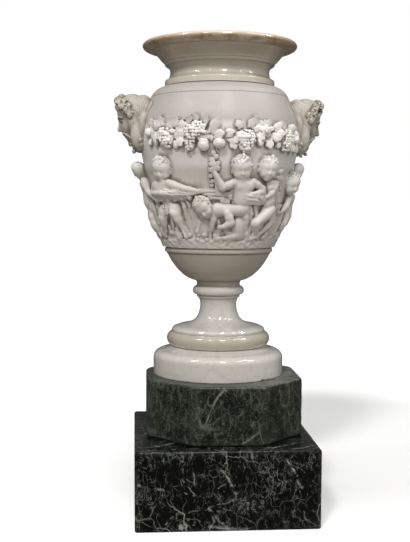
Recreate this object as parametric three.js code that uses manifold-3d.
// A carved white marble urn with two mask heads, on a two-block green marble plinth.
// Millimetres, +Z up, front towards -Y. The origin is the centre of the footprint at the floor.
import * as THREE from "three";
import { mergeVertices } from "three/addons/utils/BufferGeometryUtils.js";
import Module from "manifold-3d";

const wasm = await Module();
wasm.setup();

// ---------------------------------------------------------------- driving dimensions
const TOTAL_HEIGHT = 1210; // floor to the top of the rim
const GAP = 0.3; // clearance between two solids that touch

// lower plinth block
const LOWER_SIDE = 456;
const LOWER_HEIGHT = 198;
const LOWER_CENTRE = [6, -10];
const LOWER_ARRIS = 3;

// upper plinth block: near-regular octagon
const UPPER_FLATS = 402;
const UPPER_HEIGHT = 149.2;
const UPPER_FLAT_RATIO = 0.437; // half length of a flat over half of the width across flats
const UPPER_CENTRE = [10.5, 0];
const UPPER_ARRIS = 7;

// the urn's axis
const URN_CENTRE = [0, 14];
const SEGMENTS = 36;

// heights of the joints between the marble pieces
const Z_UPPER = LOWER_HEIGHT + GAP; // underside of the upper block
const Z_PLATE = Z_UPPER + UPPER_HEIGHT + GAP; // underside of the foot plate
const Z_FOOT_JOINT = 421.2; // top of the foot plate
const Z_STEM_TOP = 591.8;
const Z_BOWL = 593.5;
const Z_MOUTH = 1096.0; // top of the bowl, underside of the neck
const JOINT = 1.2; // thickness of a bedding layer

const PLATE_RADIUS = 171.4;
const BOWL_FLOOR_Z = 640;
const BOWL_FLOOR_RADIUS = 62;
const MOUTH_RADIUS = 118.5;
const SPIGOT_RADIUS = 117.6;
const NECK_BORE = 98;
const RIM_RADIUS = 201;

// tie rod and its nuts
const ROD_RADIUS = 8;
const ROD_HOLE = 9.5;
const ROD_BOTTOM = 353;
const ROD_TOP = 666;
const RECESS_RADIUS = 34;
const RECESS_TOP = 378;
const WASHER_RADIUS = 28;
const WASHER_THICKNESS = 4;
const NUT_FLATS = 26;
const NUT_HEIGHT = 13;
const THREAD_CLEARANCE = 0.4;

// dowels
const DOWEL_RADIUS = 8;
const DOWEL_REACH = 26; // how far a dowel stands into the piece above
const DOWEL_DEPTH = 30; // how deep it is set in the piece below
const DOWEL_SOCKET = 9.5;
const PLINTH_DOWELS = 125; // distance of the dowels from the centre of the blocks
const URN_DOWELS = 105;

// masks
const MASK_PIN_RADIUS = 4;
const MASK_PIN_LENGTH = 44;
const MASK_PIN_START = 181;
const MASK_PIN_Z = [988, 1030];

// ---------------------------------------------------------------- materials
const whiteMarble = new THREE.MeshStandardMaterial({ color: 0xd8d2c8, roughness: 0.45, metalness: 0 });
const stainedMarble = new THREE.MeshStandardMaterial({ color: 0xcfc2a6, roughness: 0.35, metalness: 0 });
const greenMarble = new THREE.MeshStandardMaterial({ color: 0x2c3a30, roughness: 0.25, metalness: 0 });
const darkMarble = new THREE.MeshStandardMaterial({ color: 0x101713, roughness: 0.15, metalness: 0 });
const iron = new THREE.MeshStandardMaterial({ color: 0x4a4744, roughness: 0.6, metalness: 0.9 });
const brass = new THREE.MeshStandardMaterial({ color: 0x9a7b3c, roughness: 0.4, metalness: 1 });
const bedding = new THREE.MeshStandardMaterial({ color: 0x6b6459, roughness: 0.9, metalness: 0 });

// ---------------------------------------------------------------- solids
function solid(geometry) {
  const g = geometry.clone();
  g.deleteAttribute("normal");
  g.deleteAttribute("uv");
  const m = mergeVertices(g, 1e-3);
  const index = [];
  const a = m.index.array;
  for (let i = 0; i < a.length; i += 3)
    if (a[i] !== a[i + 1] && a[i + 1] !== a[i + 2] && a[i] !== a[i + 2])
      index.push(a[i], a[i + 1], a[i + 2]);
  const make = (triVerts) =>
    new wasm.Manifold(
      new wasm.Mesh({ numProp: 3, vertProperties: new Float32Array(m.attributes.position.array), triVerts }),
    );
  let s = make(new Uint32Array(index));
  if (s.volume() < 0) {
    for (let i = 0; i < index.length; i += 3) [index[i + 1], index[i + 2]] = [index[i + 2], index[i + 1]];
    s = make(new Uint32Array(index));
  }
  return s;
}

function geometryOf(s) {
  const m = s.getMesh();
  const v = new Float32Array(m.numVert * 3);
  for (let i = 0; i < m.numVert; i++)
    v.set(m.vertProperties.subarray(i * m.numProp, i * m.numProp + 3), i * 3);
  const g = new THREE.BufferGeometry();
  g.setAttribute("position", new THREE.BufferAttribute(v, 3));
  g.setIndex(new THREE.BufferAttribute(new Uint32Array(m.triVerts), 1));
  g.computeVertexNormals();
  return g;
}

// A profile of [radius, height] turned about the vertical axis.
function turned(profile, segments = SEGMENTS) {
  const points = profile.map(([r, z]) => new THREE.Vector2(r, z));
  return new THREE.LatheGeometry(points, segments).rotateX(Math.PI / 2);
}

function rod(radius, z0, z1, x = 0, y = 0, segments = 20) {
  return new THREE.CylinderGeometry(radius, radius, z1 - z0, segments)
    .rotateX(Math.PI / 2)
    .translate(x, y, (z0 + z1) / 2);
}

function ring(inner, outer, z0, z1, segments = SEGMENTS) {
  return turned(
    [
      [inner, z0],
      [outer, z0],
      [outer, z1],
      [inner, z1],
      [inner, z0],
    ],
    segments,
  );
}

// An ellipsoid with semi-axes a, b, c placed by a matrix.
function lump(a, b, c, matrix, around = 5, rows = 4) {
  return new THREE.SphereGeometry(1, around, rows).scale(a, b, c).applyMatrix4(matrix);
}

// Radius of the bowl's plain outer surface at a height.
const BOWL = [
  [61, Z_BOWL],
  [74, 597.2],
  [92.3, 607.9],
  [113.3, 629.3],
  [133.6, 661.2],
  [136.8, 667.5],
  [142.2, 671],
  [142.2, 676],
  [140, 681],
  [147.5, 690],
  [152, 712],
  [167, 770],
  [182.4, 830],
  [194.6, 887],
  [202, 925],
  [206.4, 960],
  [206, 985],
  [198, 1022],
  [187.6, 1050],
  [177.4, 1073.6],
  [167, 1086],
  [143.2, Z_MOUTH],
];
function bowlRadius(z) {
  for (let i = 1; i < BOWL.length; i++) {
    const [r1, z1] = BOWL[i];
    const [r0, z0] = BOWL[i - 1];
    if (z <= z1) return r0 + ((r1 - r0) * (z - z0)) / (z1 - z0);
  }
  return BOWL[BOWL.length - 1][0];
}

// A lump of carving on the bowl: angle from the front towards +X in degrees, height, how far its
// centre stands off the surface, half width, half height, half depth, and a turn in the surface.
function carving(angle, z, off, a, b, c, turn = 0) {
  const t = THREE.MathUtils.degToRad(angle);
  const out = new THREE.Vector3(Math.sin(t), -Math.cos(t), 0);
  const side = new THREE.Vector3(Math.cos(t), Math.sin(t), 0);
  const up = new THREE.Vector3(0, 0, 1);
  const r = bowlRadius(z) + off;
  const m = new THREE.Matrix4().makeBasis(side, up, out).setPosition(out.x * r, out.y * r, z);
  m.multiply(new THREE.Matrix4().makeRotationZ(THREE.MathUtils.degToRad(turn)));
  return lump(a, b, c, m);
}

// ---------------------------------------------------------------- the urn
const urn = new THREE.Group();
urn.position.set(URN_CENTRE[0], URN_CENTRE[1], 0);
const plinth = new THREE.Group();

function mesh(name, geometry, material, group) {
  const m = new THREE.Mesh(geometry, material);
  m.name = name;
  group.add(m);
  return m;
}

// foot plate: a turned disc, with the recess for the bottom nut and two dowel sockets
{
  const profile = [
    [ROD_HOLE, Z_PLATE],
    [PLATE_RADIUS - 0.6, Z_PLATE],
    [PLATE_RADIUS, Z_PLATE + 1],
    [PLATE_RADIUS, 391],
    [168.2, 401],
    [164, 405.6],
    [147, 413.4],
    [130, 420.4],
    [127, Z_FOOT_JOINT],
    [ROD_HOLE, Z_FOOT_JOINT],
    [ROD_HOLE, Z_PLATE],
  ];
  let s = solid(turned(profile));
  s = s.subtract(solid(rod(RECESS_RADIUS, Z_PLATE - 5, RECESS_TOP, 0, 0, 32)));
  for (const x of [-URN_DOWELS, URN_DOWELS])
    s = s.subtract(solid(rod(DOWEL_SOCKET, Z_PLATE - 5, Z_PLATE + DOWEL_REACH + 4, x, 0, 20)));
  mesh("foot_plate", geometryOf(s), whiteMarble, urn);
}

// bedding between plate and stem
const FOOT_BED = Z_FOOT_JOINT + GAP;
mesh("foot_bedding", ring(ROD_HOLE + 8, 124, FOOT_BED, FOOT_BED + JOINT), bedding, urn);

// stem: torus, fillet, sweeping shaft and collar
const Z_STEM = FOOT_BED + JOINT + GAP;
mesh(
  "stem",
  turned([
    [ROD_HOLE, Z_STEM],
    [127.4, Z_STEM],
    [131.6, 427.4],
    [136, 443.4],
    [134.6, 448.6],
    [123.4, 458.6],
    [122.9, 465],
    [119.6, 469.4],
    [109, 473.8],
    [78, 481],
    [59.4, 492.4],
    [51, 509],
    [47.8, 528],
    [50.6, 544],
    [60, 551.6],
    [65, 556.6],
    [67.6, 563],
    [67.6, 569],
    [59.2, 583],
    [59.2, Z_STEM_TOP],
    [ROD_HOLE, Z_STEM_TOP],
    [ROD_HOLE, Z_STEM],
  ]),
  whiteMarble,
  urn,
);

// bedding between stem and bowl
mesh("stem_bedding", ring(ROD_HOLE + 6, 56.5, Z_STEM_TOP + GAP, Z_STEM_TOP + GAP + 1.1), bedding, urn);

// bowl: hollow ovoid, carved all round
const HALF_FRIEZE = [
  // garland of grapes, leaves and fruit
  [-62, 968, 0, 17, 15, 9],
  [-52, 975, 2, 16, 18, 12],
  [-39, 976, 2, 19, 22, 15],
  [-36, 1009, 0, 11, 17, 8],
  [-27, 1011, 0, 11, 17, 8],
  [-23, 972, 2, 23, 27, 17],
  [-14.5, 945, 6, 15, 17, 15],
  [-5, 950, 6, 14, 16, 15],
  [-7.5, 997, 0, 11, 21, 8],
  [6, 968, 2, 19, 20, 14],
  [6.5, 938, 0, 11, 20, 11],
  [16, 984, 0, 17, 13, 9],
  [25.5, 988, 3, 17, 25, 15],
  [36, 966, 2, 19, 21, 14],
  [48, 978, 1, 18, 17, 10],
  [60, 968, 0, 17, 15, 9],
  // children of the frieze
  [-83, 866, 8, 19, 21, 19],
  [-86, 824, 8, 22, 36, 21],
  [-81, 764, 6, 13, 34, 15, 10],
  [-93, 756, 6, 13, 30, 15, -10],
  [-56, 878, 8, 19, 22, 19],
  [-55, 838, 6, 21, 29, 18],
  [-61, 768, 4, 13, 40, 15, 6],
  [-43, 760, 4, 13, 42, 15, -8],
  [-38, 709, 3, 14, 9, 14],
  [-66, 818, 8, 26, 9, 10, -14],
  [-44, 814, 10, 30, 8, 10, 8],
  [-26, 822, 8, 28, 8, 9, 10],
  [-20, 790, 10, 20, 20, 19],
  [-4, 782, 8, 31, 27, 23],
  [-14, 735, 4, 12, 26, 14],
  [5, 738, 4, 12, 26, 14],
  [13, 716, 3, 20, 9, 14],
  [6, 874, 8, 19, 21, 19],
  [5, 834, 6, 20, 28, 18],
  [-4, 868, 6, 19, 7, 8],
  [23, 809, 6, 26, 13, 14, -10],
  [30, 875, 8, 19, 21, 19],
  [34, 840, 6, 21, 28, 18],
  [29, 756, 6, 14, 38, 17],
  [45, 760, 4, 14, 40, 14],
  [63, 853, 8, 19, 21, 19],
  [70, 808, 6, 21, 36, 19],
  [62, 748, 4, 13, 36, 14],
  [76, 748, 4, 13, 36, 14],
];
{
  const inner = [
    [MOUTH_RADIUS, Z_MOUTH],
    [MOUTH_RADIUS, 1068],
    [150, 1042],
    [168, 1000],
    [171, 960],
    [158, 880],
    [130, 770],
    [107, 700],
    [80, 655],
    [BOWL_FLOOR_RADIUS, BOWL_FLOOR_Z],
    [ROD_HOLE, BOWL_FLOOR_Z],
  ];
  let s = solid(turned([[ROD_HOLE, Z_BOWL], ...BOWL, ...inner, [ROD_HOLE, Z_BOWL]]));
  for (const half of [0, 180])
    for (const [angle, z, off, a, b, c, turn] of HALF_FRIEZE)
      s = s.add(solid(carving(angle + half, z, off, a, b, c, turn)));
  for (const side of [-1, 1])
    for (const z of MASK_PIN_Z) {
      const hole = new THREE.CylinderGeometry(MASK_PIN_RADIUS + GAP, MASK_PIN_RADIUS + GAP, 60, 16)
        .rotateZ(Math.PI / 2)
        .translate(side * (MASK_PIN_START - 0.4 + 30), 0, z);
      s = s.subtract(solid(hole));
    }
  const bodies = s.decompose().sort((p, q) => q.volume() - p.volume());
  mesh("bowl", geometryOf(bodies[0]), whiteMarble, urn);
}

// bedding between bowl and neck
mesh("neck_bedding", ring(MOUTH_RADIUS + 4, 138, Z_MOUTH + GAP, Z_MOUTH + GAP + JOINT), bedding, urn);

// neck and rim, with a spigot that centres it in the bowl's mouth
const Z_NECK = Z_MOUTH + 2 * GAP + JOINT;
mesh(
  "neck_rim",
  turned([
    [NECK_BORE, 1076],
    [SPIGOT_RADIUS, 1076],
    [SPIGOT_RADIUS, Z_NECK],
    [142.9, Z_NECK],
    [142.9, 1110.5],
    [137.4, 1118],
    [130, 1126],
    [128.9, 1133],
    [132.6, 1142.8],
    [134, 1144.6],
    [140.2, 1147.6],
    [143, 1151.4],
    [145.2, 1158],
    [153.8, 1164.4],
    [157.6, 1172.4],
    [172, 1178.2],
    [191, 1186.8],
    [196.8, 1191.6],
    [200.2, 1196.6],
    [RIM_RADIUS, 1200.6],
    [199.6, 1205.6],
    [195.4, 1209],
    [190, TOTAL_HEIGHT],
    [183, 1209],
    [172, 1203],
    [136, 1170],
    [105, 1130],
    [NECK_BORE, 1108],
    [NECK_BORE, 1076],
  ]),
  stainedMarble,
  urn,
);

// mask heads: a head looking out and a little down, on a cape of hair that lies on the bowl
function head(side) {
  const place = (x, y, z, tilt = 0) =>
    new THREE.Matrix4()
      .makeTranslation(side * x, y, z)
      .multiply(new THREE.Matrix4().makeRotationY(side * THREE.MathUtils.degToRad(tilt)));
  const parts = [
    [222, 0, 1026, 48, 46, 50, 0, 12, 9], // skull
    [232, 0, 1002, 36, 38, 44, 16, 10, 8], // face
    [217, 0, 966, 38, 36, 34, 24, 9, 7], // beard
    [204, 0, 945, 22, 26, 22, 24, 8, 6],
    [196, 0, 1014, 30, 64, 52, 0, 10, 8], // cape of hair
    [262, 0, 1003, 14, 9, 15, 10, 6, 5], // nose
    [246, 0, 1047, 24, 36, 17, -24, 9, 6], // wreath over the brow
    [234, 32, 1040, 24, 15, 20, 0, 6, 5],
    [234, -32, 1040, 24, 15, 20, 0, 6, 5],
  ];
  let s;
  for (const [x, y, z, a, c, b, tilt, around, rows] of parts) {
    const p = solid(lump(a, c, b, place(x, y, z, tilt), around, rows));
    s = s ? s.add(p) : p;
  }
  const body = solid(
    turned([[0, Z_BOWL], ...BOWL.map(([r, z]) => [r + 0.6, z]), [0, Z_MOUTH], [0, Z_BOWL]].slice(0, -1)),
  );
  s = s.subtract(body);
  for (const z of MASK_PIN_Z) {
    const hole = new THREE.CylinderGeometry(MASK_PIN_RADIUS + GAP, MASK_PIN_RADIUS + GAP, 50, 16)
      .rotateZ(Math.PI / 2)
      .translate(side * (MASK_PIN_START + MASK_PIN_LENGTH + 0.4 - 25), 0, z);
    s = s.subtract(solid(hole));
  }
  const bodies = s.decompose().sort((p, q) => q.volume() - p.volume());
  return geometryOf(bodies[0]);
}
mesh("mask_left", head(-1), whiteMarble, urn);
mesh("mask_right", head(1), whiteMarble, urn);
for (const [side, name] of [
  [-1, "left"],
  [1, "right"],
])
  for (const [k, level] of [
    [0, "lower"],
    [1, "upper"],
  ])
    mesh(
      "mask_pin_" + name + "_" + level,
      new THREE.CylinderGeometry(MASK_PIN_RADIUS, MASK_PIN_RADIUS, MASK_PIN_LENGTH, 16)
        .rotateZ(Math.PI / 2)
        .translate(side * (MASK_PIN_START + MASK_PIN_LENGTH / 2), 0, MASK_PIN_Z[k]),
      brass,
      urn,
    );

// tie rod, washers and nuts
mesh("tie_rod", rod(ROD_RADIUS, ROD_BOTTOM, ROD_TOP, 0, 0, 20), iron, urn);
const WASHER_BOTTOM = RECESS_TOP - GAP - WASHER_THICKNESS;
mesh(
  "washer_bottom",
  ring(ROD_HOLE - 0.5, WASHER_RADIUS, WASHER_BOTTOM, WASHER_BOTTOM + WASHER_THICKNESS, 24),
  iron,
  urn,
);
const WASHER_TOP = BOWL_FLOOR_Z + GAP;
mesh(
  "washer_top",
  ring(ROD_HOLE - 0.5, WASHER_RADIUS, WASHER_TOP, WASHER_TOP + WASHER_THICKNESS, 24),
  iron,
  urn,
);
function nut(z0) {
  const hex = new THREE.CylinderGeometry(NUT_FLATS / Math.sqrt(3), NUT_FLATS / Math.sqrt(3), NUT_HEIGHT, 6)
    .rotateX(Math.PI / 2)
    .translate(0, 0, z0 + NUT_HEIGHT / 2);
  return geometryOf(
    solid(hex).subtract(solid(rod(ROD_RADIUS + THREAD_CLEARANCE, z0 - 2, z0 + NUT_HEIGHT + 2, 0, 0, 20))),
  );
}
mesh("nut_bottom", nut(WASHER_BOTTOM - GAP - NUT_HEIGHT), iron, urn);
mesh("nut_top", nut(WASHER_TOP + WASHER_THICKNESS + GAP), iron, urn);

// ---------------------------------------------------------------- the plinth
function octagon(half) {
  const k = UPPER_FLAT_RATIO * (UPPER_FLATS / 2) - (UPPER_FLATS / 2 - half) * 0.414;
  const shape = new THREE.Shape();
  [
    [-k, -half],
    [k, -half],
    [half, -k],
    [half, k],
    [k, half],
    [-k, half],
    [-half, k],
    [-half, -k],
  ].forEach(([x, y], i) => (i ? shape.lineTo(x, y) : shape.moveTo(x, y)));
  shape.closePath();
  return shape;
}

// lower block, with two holes in which the plinth dowels are set
{
  const h = LOWER_SIDE / 2;
  const c = LOWER_ARRIS;
  const shape = new THREE.Shape();
  [
    [-h + c, -h],
    [h - c, -h],
    [h, -h + c],
    [h, h - c],
    [h - c, h],
    [-h + c, h],
    [-h, h - c],
    [-h, -h + c],
  ].forEach(([x, y], i) => (i ? shape.lineTo(x, y) : shape.moveTo(x, y)));
  shape.closePath();
  let s = solid(
    new THREE.ExtrudeGeometry(shape, { depth: LOWER_HEIGHT, bevelEnabled: false }).translate(
      LOWER_CENTRE[0],
      LOWER_CENTRE[1],
      0,
    ),
  );
  for (const x of [-PLINTH_DOWELS, PLINTH_DOWELS])
    s = s.subtract(
      solid(
        rod(
          DOWEL_RADIUS + GAP,
          LOWER_HEIGHT - DOWEL_DEPTH - GAP,
          LOWER_HEIGHT + 5,
          UPPER_CENTRE[0] + x,
          UPPER_CENTRE[1],
        ),
      ),
    );
  mesh("lower_plinth", geometryOf(s), darkMarble, plinth);
}

// upper block: octagonal, its upper arris worn round
{
  const half = UPPER_FLATS / 2;
  let s = solid(
    new THREE.ExtrudeGeometry(octagon(half - UPPER_ARRIS), {
      depth: UPPER_HEIGHT - 2 * UPPER_ARRIS,
      bevelEnabled: true,
      bevelThickness: UPPER_ARRIS,
      bevelSize: UPPER_ARRIS,
      bevelSegments: 3,
    }).translate(UPPER_CENTRE[0], UPPER_CENTRE[1], Z_UPPER + UPPER_ARRIS),
  );
  // square lower edge: only the top is worn
  s = s.add(
    solid(
      new THREE.ExtrudeGeometry(octagon(half - 0.5), {
        depth: UPPER_HEIGHT - 3 * UPPER_ARRIS,
        bevelEnabled: false,
      }).translate(UPPER_CENTRE[0], UPPER_CENTRE[1], Z_UPPER),
    ),
  );
  for (const x of [-PLINTH_DOWELS, PLINTH_DOWELS])
    s = s.subtract(
      solid(rod(DOWEL_SOCKET, Z_UPPER - 5, Z_UPPER + DOWEL_REACH + 4, UPPER_CENTRE[0] + x, UPPER_CENTRE[1])),
    );
  for (const x of [-URN_DOWELS, URN_DOWELS])
    s = s.subtract(
      solid(
        rod(
          DOWEL_RADIUS + GAP,
          Z_UPPER + UPPER_HEIGHT - DOWEL_DEPTH - GAP,
          Z_UPPER + UPPER_HEIGHT + 5,
          URN_CENTRE[0] + x,
          URN_CENTRE[1],
        ),
      ),
    );
  mesh("upper_plinth", geometryOf(s), greenMarble, plinth);
}

for (const [x, name] of [
  [-PLINTH_DOWELS, "left"],
  [PLINTH_DOWELS, "right"],
])
  mesh(
    "plinth_dowel_" + name,
    rod(
      DOWEL_RADIUS,
      LOWER_HEIGHT - DOWEL_DEPTH,
      LOWER_HEIGHT + DOWEL_REACH,
      UPPER_CENTRE[0] + x,
      UPPER_CENTRE[1],
    ),
    iron,
    plinth,
  );
for (const [x, name] of [
  [-URN_DOWELS, "left"],
  [URN_DOWELS, "right"],
])
  mesh(
    "urn_dowel_" + name,
    rod(
      DOWEL_RADIUS,
      Z_PLATE - GAP - DOWEL_DEPTH,
      Z_PLATE - GAP + DOWEL_REACH,
      URN_CENTRE[0] + x,
      URN_CENTRE[1],
    ),
    iron,
    plinth,
  );

const object = new THREE.Group();
object.add(plinth, urn);
export default object;
